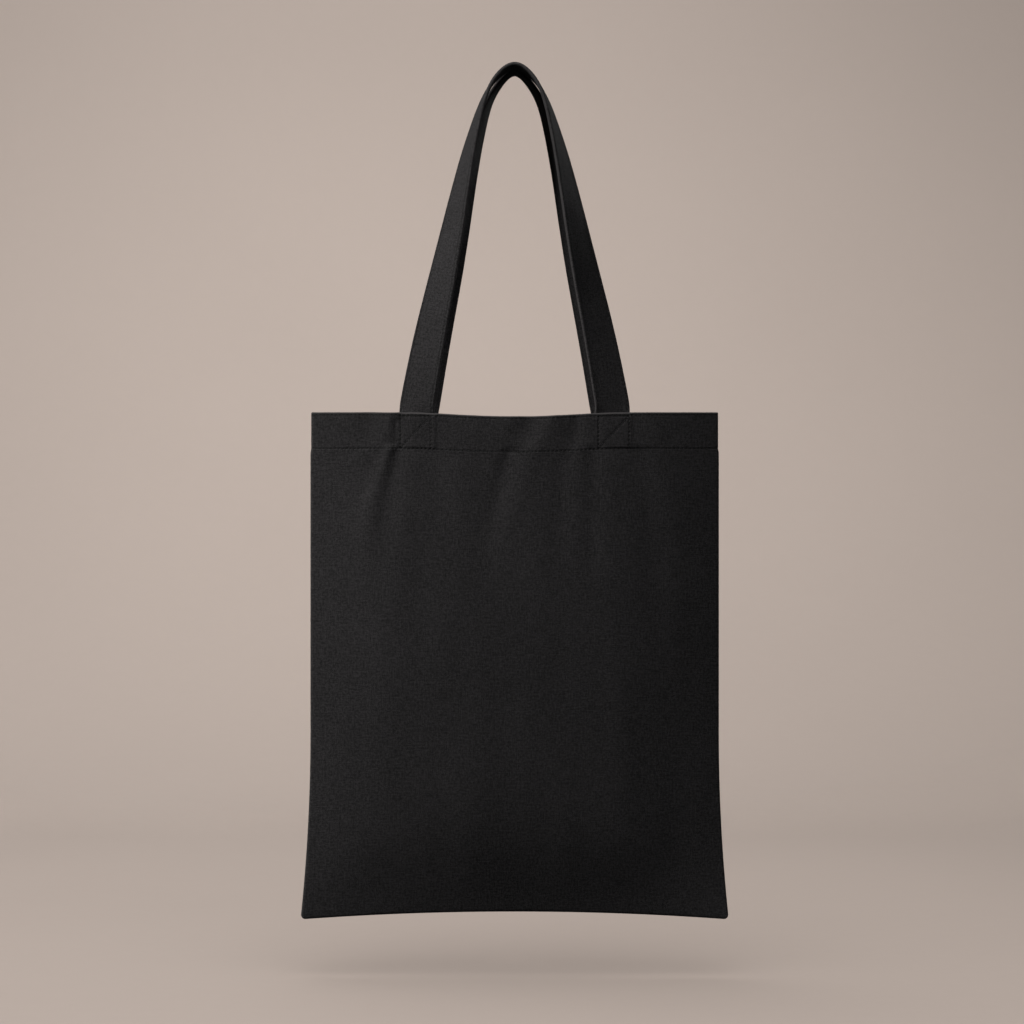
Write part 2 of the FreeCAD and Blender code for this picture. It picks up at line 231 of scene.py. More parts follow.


# The last argument, a value at each point, is above 0 where the cloth is painted pale (rubbed wear, and a
# painted highlight along the mouth and the strap edges) and below 0 where it gets painted shade in the
# grooves that sewing draws in
def addMesh(name, points, faces, uvs, material, wearAndPaintedLight=None):
    mesh = bpy.data.meshes.new(name)
    mesh.from_pydata([tuple(point) for point in points], [], [tuple(face) for face in faces])
    layer = mesh.uv_layers.new(name="UVMap")
    corner = np.empty(len(mesh.loops), np.int32)
    mesh.loops.foreach_get("vertex_index", corner)
    layer.data.foreach_set("uv", np.asarray(uvs, np.float32)[corner].ravel())
    wearAndLightLayer = mesh.attributes.new("wearAndPaintedLight", "FLOAT", "POINT")
    if wearAndPaintedLight is not None:
        wearAndLightLayer.data.foreach_set("value", np.asarray(wearAndPaintedLight, np.float32))
    mesh.materials.append(material)
    mesh.polygons.foreach_set("use_smooth", [True] * len(mesh.polygons))
    mesh.validate()
    thing = bpy.data.objects.new(name, mesh)
    bpy.context.scene.collection.objects.link(thing)
    return thing


def gridFaces(rows, columns, closeColumns=False, start=0):
    lastColumn = columns if closeColumns else columns - 1
    row, column = np.meshgrid(np.arange(rows - 1), np.arange(lastColumn), indexing="ij")
    nextColumn = (column + 1) % columns
    corners = [row * columns + column, row * columns + nextColumn,
               (row + 1) * columns + nextColumn, (row + 1) * columns + column]
    return start + np.stack([corner.ravel() for corner in corners], axis=1)


def smoothThrough(places, values, at):          # a natural cubic spline through values at places
    places, values, at = (np.asarray(item, float) for item in (places, values, at))
    gaps = np.diff(places)
    count = len(places)
    system = np.eye(count)
    target = np.zeros_like(values)
    for knot in range(1, count - 1):
        system[knot, knot - 1:knot + 2] = gaps[knot - 1], 2 * (gaps[knot - 1] + gaps[knot]), gaps[knot]
        rise = (values[knot + 1] - values[knot]) / gaps[knot]
        target[knot] = 6 * (rise - (values[knot] - values[knot - 1]) / gaps[knot - 1])
    bend = np.linalg.solve(system, target)
    span = np.clip(np.searchsorted(places, at) - 1, 0, count - 2)
    shape = (-1,) + (1,) * (values.ndim - 1)
    gap = gaps[span].reshape(shape)
    left = (places[span + 1] - at).reshape(shape)
    right = (at - places[span]).reshape(shape)
    return ((bend[span] * left ** 3 + bend[span + 1] * right ** 3) / (6 * gap)
            + (values[span] / gap - bend[span] * gap / 6) * left
            + (values[span + 1] / gap - bend[span + 1] * gap / 6) * right)


body = {                         # the bag's body as it hangs
    "mouth": panelHigh.z,
    "base": panelLow.z,
    "mouthHalf": 0.1686,
    "flareBelow": 0.265,         # from here down the sides swing out
    "flare": cadHigh.x - 0.1686,
    "hemStep": 0.0006,           # the sides stand out a little just under the hem
    "hemStepRun": 0.004,
    "mouthSag": 0.0031,          # the top edge sags between the straps
    "mouthBow": 0.0010,
    "sagHalf": 0.082,
    "baseArch": 0.0070,
    "cornerRound": 0.0055,
    "seamHalf": 0.0022,          # half the thickness of the seamed edges
    "seamGroove": 0.0007,
    "grooveWide": 0.0007,
    "calmSide": 0.05,            # folds die away this near to a side seam
    "calmBase": 0.06,
    "apart": 0.00015,            # the least from a panel to the bag's middle plane
    "bulgeDrops": (0.0, 0.04, 0.17, 0.271, 0.358, 0.40, 0.42),
    "bulges": (0.0250, 0.0265, 0.0305, 0.0272, 0.0178, 0.0060, 0.0008),
    "crownPower": 2.5,           # how square the bulge is across the bag
    "cloth": 0.0009,
    "hem": 0.030,
    "facing": 0.035,
    "hemRoll": 0.0011,
}
panelTall = body["mouth"] - body["base"]

sewing = {                       # every row of stitches
    "stitch": 0.0027,
    "gap": 0.00075,
    "thick": 0.00030,
    "sink": 0.00012,
    "rise": 0.55,                # how far a stitch arches up, in thicknesses
}
strap = {
    "wide": 0.030,
    "thick": 0.0030,
    "spread": 0.080,
    "rowInset": 0.0023,
    "boxSpread": 0.0812,         # the bag's middle out to the sewn box
    "boxWide": 0.0253,
    "boxTop": 0.0032,
    "ends": 0.0295,              # sewn length inside the hem
    "long": 0.665,               # with both sewn ends
    "clear": 0.0001,             # strap to the cloth beside it
    "baseTurn": 19,              # degrees the strap is turned on edge where it leaves the hem
    "endLean": 0.148,            # the sewn end follows the bulge of the panel
    "rearInset": 0.0032,         # the rear strap hangs a little narrower
    "groove": 0.00035,
    "grooveWide": 0.00045,
    "edgeRound": 0.0012,
}


def ease(value):
    value = np.clip(value, 0, 1)
    return value * value * (3 - 2 * value)


def halfWidth(z):
    below = np.clip((body["mouth"] - body["flareBelow"] - z)
                    / (body["mouth"] - body["flareBelow"] - body["base"]), 0, 1)
    hemStep = body["hemStep"] * ease((body["mouth"] - body["hem"] - z) / body["hemStepRun"])
    return body["mouthHalf"] + hemStep + (body["flare"] - body["hemStep"]) * below ** 2


def topEdge(x):
    inner = np.clip(1 - (x / body["sagHalf"]) ** 2, 0, 1) ** 1.5
    outer = 1 - np.clip(x / body["mouthHalf"], -1, 1) ** 2
    return body["mouth"] - body["mouthSag"] * inner - body["mouthBow"] * outer


def bottomEdge(x):
    return body["base"] + body["baseArch"] * (1 - np.clip(x / cadHigh.x, -1, 1) ** 2)


# each fold follows a line of (across, below the mouth), stands out or in by height, and fades at both ends
frontFolds = [
    {"line": [(-0.1030, 0.032), (-0.1070, 0.045), (-0.1110, 0.057), (-0.1145, 0.069), (-0.1180, 0.085),
              (-0.1210, 0.125)], "height": 0.0023, "width": 0.0050, "widen": 1.6},
    {"line": [(-0.0960, 0.033), (-0.1000, 0.057), (-0.1030, 0.087), (-0.1040, 0.115)],
     "height": -0.0008, "width": 0.0060},
    {"line": [(-0.0850, 0.045), (-0.0930, 0.110), (-0.1000, 0.190)], "height": 0.0010, "width": 0.0120},
    {"line": [(-0.0045, 0.034), (-0.0070, 0.042), (-0.0105, 0.057), (-0.0145, 0.075), (-0.0170, 0.087),
              (-0.0200, 0.125)], "height": -0.0015, "width": 0.0064, "widen": 1.0},
    {"line": [(0.0150, 0.036), (0.0100, 0.050), (0.0040, 0.0690), (-0.0020, 0.105)],
     "height": 0.0008, "width": 0.0075},
    {"line": [(0.0040, 0.0345), (0.0130, 0.0440)], "height": -0.0006, "width": 0.0017},
    {"line": [(0.0080, 0.0335), (0.0180, 0.0430)], "height": -0.0005, "width": 0.0017},
    {"line": [(-0.0400, 0.045), (-0.0460, 0.190)], "height": 0.0012, "width": 0.0140},
    {"line": [(0.0640, 0.033), (0.0640, 0.090), (0.0610, 0.170)], "height": -0.0009, "width": 0.0065},
    {"line": [(0.0520, 0.033), (0.0520, 0.110)], "height": 0.0007, "width": 0.0065},
    {"line": [(0.0380, 0.045), (0.0360, 0.140)], "height": -0.0007, "width": 0.0080},
    {"line": [(0.0800, 0.045), (0.0840, 0.220)], "height": 0.0010, "width": 0.0140},
    {"line": [(0.1020, 0.033), (0.1240, 0.160)], "height": -0.0010, "width": 0.0110},
    {"line": [(-0.0975, 0.010), (-0.0960, 0.034)], "height": -0.0010, "width": 0.0028},
    {"line": [(-0.1010, 0.002), (-0.1100, 0.034)], "height": 0.0010, "width": 0.0055},
    {"line": [(-0.1190, 0.002), (-0.1240, 0.036)], "height": -0.0011, "width": 0.0080},
    {"line": [(0.0130, 0.001), (0.0050, 0.034)], "height": -0.0021, "width": 0.0080},
    {"line": [(0.0320, 0.003), (0.0230, 0.034)], "height": 0.0012, "width": 0.0065},
    {"line": [(0.0520, 0.002), (0.0470, 0.032)], "height": -0.0009, "width": 0.0045},
    {"line": [(-0.0350, 0.003), (-0.0330, 0.036)], "height": 0.0012, "width": 0.0100},
]
backFolds = [
    {"line": [(0.0960, 0.031), (0.1080, 0.075), (0.1270, 0.150)], "height": -0.0026, "width": 0.0052},
    {"line": [(0.1070, 0.032), (0.1200, 0.070), (0.1380, 0.115)], "height": 0.0020, "width": 0.0050},
    {"line": [(-0.0980, 0.031), (-0.1080, 0.080), (-0.1200, 0.150)], "height": -0.0021, "width": 0.0055},
    {"line": [(0.0120, 0.031), (0.0190, 0.080), (0.0170, 0.150)], "height": -0.0024, "width": 0.0055},
    {"line": [(-0.0050, 0.032), (0.0060, 0.075), (0.0080, 0.120)], "height": 0.0018, "width": 0.0055},
    {"line": [(-0.0580, 0.032), (-0.0540, 0.180)], "height": -0.0014, "width": 0.0080},
    {"line": [(0.0450, 0.040), (0.0480, 0.200)], "height": 0.0013, "width": 0.0130},
    {"line": [(-0.0120, 0.003), (-0.0030, 0.034)], "height": -0.0012, "width": 0.0070},
    {"line": [(0.0400, 0.004), (0.0360, 0.036)], "height": 0.0010, "width": 0.0090},
]
ripples = [                                     # broad unevenness: height, waves across, waves down, offset
    (0.0004, 3.1, 0.5, 0.4), (0.00022, 5.3, -0.7, 1.9), (0.00012, 8.7, 0.9, 2.7), (0.00007, 12.1, -1.6, 0.8),
    (0.00015, 1.7, 3.3, 0.2),
]
foldFade = {
    "lead": 0.020,               # a fold rises over this length above its line
    "hemLead": 0.007,            # the same for one held by the hem
    "from": 0.45,                # it dies away from this share of its line
    "over": 0.75,
    "widen": 0.8,
}


def foldHeight(x, z, side):
    below = body["mouth"] - z
    total = np.zeros_like(x)
    for fold in (frontFolds if side < 0 else backFolds):
        places, drops = np.array(fold["line"]).T
        start, end = drops[0], drops[-1]
        held = np.clip(below, start, end)
        slope = (places[-1] - places[0]) / (end - start)
        centre = smoothThrough(drops, places, held.ravel()).reshape(below.shape) + slope * (below - held)
        along = (below - start) / (end - start)
        width = fold["width"] * (1 + fold.get("widen", foldFade["widen"]) * np.clip(along, 0, 1.3))
        lead = foldFade["lead"] if start > body["hem"] + 0.005 else foldFade["hemLead"]
        fade = ease((below - start + lead) / lead) * (1 - ease((along - foldFade["from"]) / foldFade["over"]))
        total += fold["height"] * fade * np.exp(-((x - centre) / width) ** 2)
    wide = 2 * body["mouthHalf"]
    for height, wavesAcross, wavesDown, offset in ripples:
        turn = 2 * math.pi * (wavesAcross * x / wide + wavesDown * below / panelTall)
        total += height * np.sin(turn + offset * (1 if side < 0 else 2.3))
    return total


def panelForm(x, drop, side):                   # a panel's outer face; drop is 0 at the mouth, 1 at the base
    z = topEdge(x) * (1 - drop) + bottomEdge(x) * drop
    half = halfWidth(z)
    fromBase = z - bottomEdge(x)
    fromSide = half - np.abs(x)
    nearest = np.minimum(fromSide, fromBase + 0.0001)
    roll = np.clip(nearest / body["seamHalf"], 0, 1)
    edge = body["seamHalf"] * np.sqrt(np.clip(1 - (1 - roll) ** 2, 0, 1))
    below = np.clip(body["mouth"] - z, 0, body["bulgeDrops"][-1])
    bulge = smoothThrough(body["bulgeDrops"], body["bulges"], below.ravel()).reshape(below.shape)
    crown = 1 - np.clip(np.abs(x / half), 0, 1) ** body["crownPower"]
    calm = ease(fromSide / body["calmSide"]) * ease(fromBase / body["calmBase"])
    out = edge + bulge * crown + foldHeight(x, z, side) * calm
    out = np.where(nearest <= 1e-7, 0, out)
    groove = body["seamGroove"] * np.exp(-(out / body["grooveWide"]) ** 2)
    sideEdge = fromSide <= fromBase
    x = np.where(sideEdge, x - np.sign(x) * groove, x)
    z = np.where(sideEdge, z, z + groove)
    return np.stack([x, side * out, z], axis=-1)


def panelNormal(x, drop, side):
    step, dropStep = 0.0008, 0.002
    across = panelForm(x + step, drop, side) - panelForm(x - step, drop, side)
    lower, upper = np.clip(drop + dropStep, 0, 1), np.clip(drop - dropStep, 0, 1)
    down = panelForm(x, lower, side) - panelForm(x, upper, side)
    normal = np.cross(down, across) * -side
    return normal / np.maximum(np.linalg.norm(normal, axis=-1, keepdims=True), 1e-12)


pull = {                         # how the sewing draws the cloth in
    "deep": 0.00055,
    "wide": 0.00062,
    "lip": 0.00018,              # the cloth swells just under the hem row
    "lipBelow": 0.0014,
    "lipWide": 0.0008,
    "topRow": 0.0021,
    "topShare": 0.7,
    "boxDeep": 0.00065,
    "strapRaise": 0.00060,       # the hem over the strap's sewn end stands out
    "raiseSharp": 0.0018,        # sharply at the strap's right edge
    "raiseSoft": 0.0120,         # and gently at its left
}


def sewnLine(x, below, start, end):             # how deep a straight row of stitches draws the cloth in
    (startX, startDrop), (endX, endDrop) = start, end
    length = math.hypot(endX - startX, endDrop - startDrop)
    wayX, wayDrop = (endX - startX) / length, (endDrop - startDrop) / length
    along = np.clip((x - startX) * wayX + (below - startDrop) * wayDrop, 0, length)
    gap = np.hypot(x - startX - along * wayX, below - startDrop - along * wayDrop)
    puckers = 0.78 + 0.22 * np.cos(2 * math.pi * along / (sewing["stitch"] + sewing["gap"]))
    return puckers * np.exp(-(gap / pull["wide"]) ** 2)


def boxLines(centre):                           # the sewn box with one diagonal, top line first
    left, right = centre - strap["boxWide"] / 2, centre + strap["boxWide"] / 2
    low, high = body["hem"] - 0.0003, strap["boxTop"]
    return [((left, high), (right, high)), ((left, low), (left, high)), ((right, high), (right, low)),
            ((left, low), (right, high))]


def trough(below, place, wide):                 # 1 along a row across the bag, fading to 0 beside it
    return np.exp(-((below - place) / wide) ** 2)


def sewnDepth(x, below):                        # how deep all the sewing draws a panel's cloth in
    puckers = 0.62 + 0.38 * np.cos(2 * math.pi * x / (sewing["stitch"] + sewing["gap"]))
    depth = pull["deep"] * puckers * trough(below, body["hem"], pull["wide"])
    depth -= pull["lip"] * puckers * trough(below, body["hem"] + pull["lipBelow"], pull["lipWide"])
    depth += pull["topShare"] * pull["deep"] * trough(below, pull["topRow"], pull["wide"])
    box = np.zeros_like(x)
    for hand in (-1, 1):
        for start, end in boxLines(hand * strap["boxSpread"]):
            box = np.maximum(box, sewnLine(x, below, start, end))
        beside = x - hand * strap["spread"]
        raised = ease((strap["wide"] / 2 + 0.0014 - beside) / pull["raiseSharp"])
        raised *= ease((beside + strap["wide"] / 2) / pull["raiseSoft"])
        raised *= ease((body["hem"] + 0.0006 - below) / 0.002)
        depth -= pull["strapRaise"] * raised
    return depth + pull["boxDeep"] * box


def panelPly(x, drop, depth, side):             # a point this deep inside a panel's outer face
    face = panelForm(x, drop, side)
    normal = panelNormal(x, drop, side)
    fromSide = halfWidth(face[..., 2]) - np.abs(x)
    if depth == 0:
        depth = sewnDepth(x, drop * panelTall) * ease(fromSide / 0.002)
    point = face - normal * np.broadcast_to(depth, x.shape)[..., None]
    point[..., 1] = side * np.maximum(point[..., 1] * side, body["apart"])
    return point


# mesh columns: even over the bag's middle, with extra ones along the boxes' upright rows
boxEdges = [hand * (strap["boxSpread"] + way * strap["boxWide"] / 2) for hand in (-1, 1) for way in (-1, 1)]
evenColumns = np.arange(-0.150, 0.1501, 0.00095)
boxColumns = np.add.outer(boxEdges, np.array([-0.0010, -0.0005, 0, 0.0005, 0.0010])).ravel()
clearOfBoxes = np.min(np.abs(evenColumns[:, None] - boxColumns[None, :]), axis=1) > 0.0004
middleColumns = np.sort(np.concatenate([evenColumns[clearOfBoxes], boxColumns]))


def columnPlaces(z):                            # x across a row, closer together at the side seams
    nearEdge = np.array([0, 0.12, 0.3, 0.6, 1.0, 1.5, 2.2, 3.2, 4.6, 6.4]) / 1000
    half = float(halfWidth(np.array(z)))
    fromBase = z - float(bottomEdge(np.array(half)))
    cornerRound = body["cornerRound"]
    if fromBase < cornerRound:
        half -= cornerRound - math.sqrt(max(0.0, cornerRound ** 2 - (cornerRound - max(fromBase, 0)) ** 2))
    outer = np.linspace(half - nearEdge[-1] - 0.0011, middleColumns[-1] + 0.001, 9)
    right = np.concatenate([half - nearEdge, outer])
    return np.concatenate([-right, middleColumns, right[::-1]])


def panelRows():                                # each row's drop and depth: up, over the mouth, down inside
    nearBase = 1 - np.array([0, 0.1, 0.3, 0.6, 1.0, 1.6, 2.3, 3.2, 4.4, 6.0]) / 1000 / panelTall
    outerDrops = np.concatenate([nearBase, np.linspace(1 - 0.0085 / panelTall, 0.048 / panelTall, 190),
                                 np.arange(0.0470, 0.0330, -0.0010) / panelTall,
                                 np.arange(0.0328, 0.0285, -0.0003) / panelTall,
                                 np.arange(0.0280, 0.0040, -0.0007) / panelTall,
                                 np.arange(0.0036, 0.0012, -0.0003) / panelTall])
    roll = body["hemRoll"]
    rows = [(drop, 0.0) for drop in outerDrops]
    for angle in np.linspace(0, math.pi, 9):    # over the top edge
        rows.append((roll * (1 - math.sin(angle)) / panelTall, max(1e-6, roll * (1 - math.cos(angle)))))
    facingDrops = np.linspace(0.003, body["facing"], 18) / panelTall
    rows += [(drop, 2 * roll) for drop in facingDrops]
    for angle in np.linspace(0.4, math.pi / 2, 4):    # the facing's turned lower edge
        rows.append(((body["facing"] + 0.0009 * math.sin(angle)) / panelTall,
                     2 * roll - 0.0006 * (1 - math.cos(angle))))
    rows.append(((body["facing"] + 0.0008) / panelTall, body["cloth"] + 0.0001))
    belowFacing = (body["facing"] + 0.003) / panelTall
    innerDrops = np.concatenate([np.linspace(belowFacing, 1 - 0.0085 / panelTall, 90), nearBase[::-1]])
    return rows + [(drop, body["cloth"]) for drop in innerDrops]


paleEdges = {                         # how pale the edges are painted: rubbed wear, and along the mouth and the strap edges a painted highlight too
    "mouth": 0.95,
    "mouthWide": 0.0011,
    "side": 0.75,
    "sideWide": 0.0022,
    "strap": 0.75,
    "strapWide": 0.0009,
}


def makePanel(name, side):
    rows = panelRows()
    points, uvs, wearAndLightRows = [], [], []
    travelled = 0.0
    middleColumn = len(middleColumns) // 2
    for index, (drop, depth) in enumerate(rows):
        x = columnPlaces(body["mouth"] * (1 - drop) + body["base"] * drop)
        row = panelPly(x, np.full_like(x, drop), depth, side)
        row[0, 1] = row[-1, 1] = 0.0
        if index in (0, len(rows) - 1):
            row[:, 1] = 0.0
        points.append(row)
        if index:
            travelled += float(np.linalg.norm(row[middleColumn] - points[-2][middleColumn]))
        uvs.append(np.stack([x, np.full_like(x, travelled)], axis=-1))
        onFacing = depth >= 2 * body["hemRoll"]
        # a pale band along the mouth's edge: wear and a painted highlight where light from above catches it
        mouthWearAndHighlight = 0.0 if onFacing else paleEdges["mouth"] * trough(drop * panelTall, 0.0008, paleEdges["mouthWide"])
        sideRub = paleEdges["side"] * np.exp(-(x.max() - np.abs(x)) / paleEdges["sideWide"])
        wearAndPaintedLight = np.maximum(mouthWearAndHighlight, sideRub)
        if depth == 0:
            # painted shade in the grooves that sewing draws in
            wearAndPaintedLight = wearAndPaintedLight - np.clip(sewnDepth(x, np.full_like(x, drop * panelTall)) / pull["deep"], 0, 1)
        wearAndLightRows.append(wearAndPaintedLight)
    points, uvs, wearAndLightRows = np.array(points), np.array(uvs), np.array(wearAndLightRows)
    count, columns = points.shape[:2]
    faces = gridFaces(count, columns)
    if side > 0:
        faces = faces[:, ::-1]
    return addMesh(name, points.reshape(-1, 3), faces, uvs.reshape(-1, 2), canvas, wearAndLightRows.ravel())


frontPanel = makePanel("frontPanel", -1)
backPanel = makePanel("backPanel", 1)
for panel, label in ((frontPanel, "front"), (backPanel, "back")):
    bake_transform(panel)
    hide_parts(f"{label}_panel", f"{label}_hem_facing")
print("panels hung")


def arcLengths(path):
    return np.concatenate([[0], np.cumsum(np.linalg.norm(np.diff(path, axis=0), axis=1))])


def sewRow(name, runs, material=thread):        # runs: lists of (path, normals); each gets its own stitches
    ringPlaces = np.array([0.0, 0.10, 0.28, 0.5, 0.72, 0.90, 1.0])
    ringSizes = np.array([0.35, 0.85, 1.0, 1.0, 1.0, 0.85, 0.35])
    ringLifts = np.array([-1.0, 0.1, 0.75, 0.9, 0.75, 0.1, -1.0])
    around = np.linspace(0, 2 * math.pi, 6, endpoint=False)
    points, uvs, faces = [], [], []
    for path, normals in runs:
        lengths = arcLengths(path)
        count = max(1, int(round(lengths[-1] / (sewing["stitch"] + sewing["gap"]))))
        pitch = lengths[-1] / count
        for number in range(count):
            start = number * pitch + sewing["gap"] / 2
            places = start + ringPlaces * (pitch - sewing["gap"])
            centre = np.stack([np.interp(places, lengths, path[:, axis]) for axis in range(3)], axis=1)
            up = np.stack([np.interp(places, lengths, normals[:, axis]) for axis in range(3)], axis=1)
            up /= np.linalg.norm(up, axis=1, keepdims=True)
            way = centre[-1] - centre[0]
            way /= np.linalg.norm(way)
            aside = np.cross(way, up)
            centre = centre + up * (ringLifts * sewing["thick"] * sewing["rise"])[:, None]
            radius = (ringSizes * sewing["thick"])[:, None, None]
            ring = centre[:, None, :] + radius * (np.cos(around)[None, :, None] * aside[:, None, :]
                                                  + np.sin(around)[None, :, None] * up[:, None, :])
            base = len(points) * ring.shape[0] * ring.shape[1]
            points.append(ring.reshape(-1, 3))
            grid = np.stack(np.meshgrid(ringPlaces, around / (2 * math.pi), indexing="ij"), axis=-1)
            uvs.append(grid.reshape(-1, 2)[:, ::-1] + number * 0.37)
            faces.append(gridFaces(len(ringPlaces), len(around), closeColumns=True, start=base))
    return addMesh(name, np.concatenate(points), np.concatenate(faces), np.concatenate(uvs), material)


def panelRun(xs, drops, side, depth=0.0, inside=False):
    xs, drops = np.asarray(xs, float), np.asarray(drops, float)
    normal = panelNormal(xs, drops, side)
    if not inside:
        depth = sewnDepth(xs, drops * panelTall)[:, None] - sewing["sink"]
    path = panelForm(xs, drops, side) - normal * depth
    return path, (-normal if inside else normal)


def bothFaces(xs, drops, side):                 # a row shows outside and inside
    return [panelRun(xs, drops, side), panelRun(xs, drops, side, 2 * body["hemRoll"], inside=True)]


def level(metres, count):
    return np.full(count, metres / panelTall)


seamStop = 0.0016                               # the rows end this far from the side seams
rowEnd = body["mouthHalf"] - seamStop
for label, side in (("front", -1), ("back", 1)):
    across = np.linspace(-rowEnd, rowEnd, 260)
    hemRow = sewRow(f"{label}HemSewing", bothFaces(across, level(body["hem"], 260), side))
    topRow = sewRow(f"{label}TopSewing", bothFaces(across, level(pull["topRow"], 260), side))
    rows = [(hemRow, f"{label}_hem_stitching"), (topRow, f"{label}_top_stitching")]
    for hand, centre in (("left", -strap["boxSpread"]), ("right", strap["boxSpread"])):
        runs = []
        for start, end in boxLines(centre):
            x, below = np.linspace(start, end, 24).T
            runs.append(panelRun(x, below / panelTall, side))
        rows.append((sewRow(f"{label}{hand.capitalize()}Box", runs), f"{label}_{hand}_box_stitch"))
    for row, node in rows:
        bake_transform(row)
        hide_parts(node)
print("hem and boxes sewn")


seam = {                         # the seams inside the bag
    "inset": 0.0010,             # seamed edge in to the allowance
    "wide": 0.0100,
    "half": 0.00085,             # half the two turned plies
    "row": 0.0030,               # seamed edge in to the stitch row
    "clear": 0.0020,             # facing down to the allowance
    "loopPitch": 0.0024,         # overlock loops along the raw edge
    "loopDeep": 0.0048,
    "corner": 0.0150,            # the side allowances stop this far above the base
    "bottomEnds": 0.0052,        # the bottom allowance stops this far inside the mouth's width
    "ruffle": 0.00035,
    "ruffleTurns": 180,          # radians per metre
}


def seamLine(which, inset, count):              # a line this far in from a seamed edge, and the way inwards
    if which == "bottom":
        reach = body["mouthHalf"] - seam["bottomEnds"]
        x = np.linspace(-reach, reach, count)
        inward = np.stack([np.zeros(count), np.zeros(count), np.ones(count)], axis=1)
        return np.stack([x, np.zeros(count), bottomEdge(x) + inset], axis=1), inward
    hand = -1 if which == "left" else 1
    z = np.linspace(body["mouth"] - body["facing"] - seam["clear"], body["base"] + seam["corner"], count)
    inward = np.stack([np.full(count, -hand), np.zeros(count), np.zeros(count)], axis=1).astype(float)
    return np.stack([hand * (halfWidth(z) - inset), np.zeros(count), z], axis=1), inward


def makeAllowance(name, which):                 # two plies, their raw edges a little ruffled
    count = 150
    line, inward = seamLine(which, seam["inset"], count)
    along = arcLengths(line)
    places = np.array([0, 0.04, 0.15, 0.35, 0.6, 0.85, 0.96, 1.0]) * seam["wide"]
    half = seam["half"] * np.array([0.35, 0.8, 1, 1, 1, 1, 0.9, 0.35])
    loopPlaces = np.concatenate([places, places[-2:0:-1]])
    loopHalf = np.concatenate([half, -half[-2:0:-1]])
    wave = np.sin(along * seam["ruffleTurns"])[:, None]
    ruffle = seam["ruffle"] * wave * (loopPlaces / seam["wide"])[None, :] ** 2
    points = line[:, None, :] + inward[:, None, :] * loopPlaces[None, :, None]
    points[..., 1] += loopHalf[None, :] + ruffle
    faces = [tuple(face) for face in gridFaces(count, len(loopPlaces), closeColumns=True)]
    faces.append(tuple(range(len(loopPlaces)))[::-1])
    faces.append(tuple(range((count - 1) * len(loopPlaces), count * len(loopPlaces))))
    wrap = np.concatenate([places, 2 * seam["wide"] - places[-2:0:-1]])
    uvs = np.stack(np.broadcast_arrays(wrap[None, :], along[:, None]), axis=-1)
    return addMesh(name, points.reshape(-1, 3), faces, uvs.reshape(-1, 2), canvas), along[-1]


def seamStitches(name, which):
    line, _ = seamLine(which, seam["row"], 120)
    runs = []
    for face in (-1.0, 1.0):
        outward = np.tile([0.0, face, 0.0], (len(line), 1))
        runs.append((line + outward * seam["half"], outward))
    return sewRow(name, runs)


def overlockLoops(name, which):                 # thread slanting over the raw edge, on both faces
    edge = seam["inset"] + seam["wide"]
    length = arcLengths(seamLine(which, edge, 40)[0])[-1]
    count = int(length / seam["loopPitch"])
    outer, inward = seamLine(which, edge + 0.0004, count)
    inner, _ = seamLine(which, edge - seam["loopDeep"], count)
    runs = []
    for face in (-1.0, 1.0):
        outward = np.array([[0.0, face, 0.0]] * 3)
        for number in range(count - 1):
            middle = (outer[number] + inner[number + 1]) / 2
            path = np.array([outer[number], middle, inner[number + 1]]) + outward * (seam["half"] + 0.0001)
            path[0] -= outward[0] * seam["half"]
            runs.append((path, outward))
        needle, _ = seamLine(which, edge - seam["loopDeep"] + 0.0003, 120)
        upright = np.tile([0.0, face, 0.0], (120, 1))
        runs.append((needle + upright * seam["half"], upright))
    return sewRow(name, runs, looperThread)


for which in ("left", "right", "bottom"):
    allowance, length = makeAllowance(f"{which}SeamAllowance", which)
    stitches = seamStitches(f"{which}SeamSewing", which)
    loops = overlockLoops(f"{which}SeamOverlock", which)
    for piece, node, slotName in ((allowance, "allowance", "black_canvas"),
                                  (stitches, "stitching", "sewing_thread"),
                                  (loops, "overlock", "overlock_thread")):
        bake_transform(piece)
        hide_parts(f"{which}_seam_{node}")
print("seams sewn")


strapRoute = [                                  # spread and drop of the strap's middle, from base to arch
    (0.0812, 0.2825), (0.0704, 0.224), (0.0568, 0.160), (0.0470, 0.112), (0.0378, 0.069), (0.0315, 0.0445),
    (0.0252, 0.0250), (0.0140, 0.0063),
]


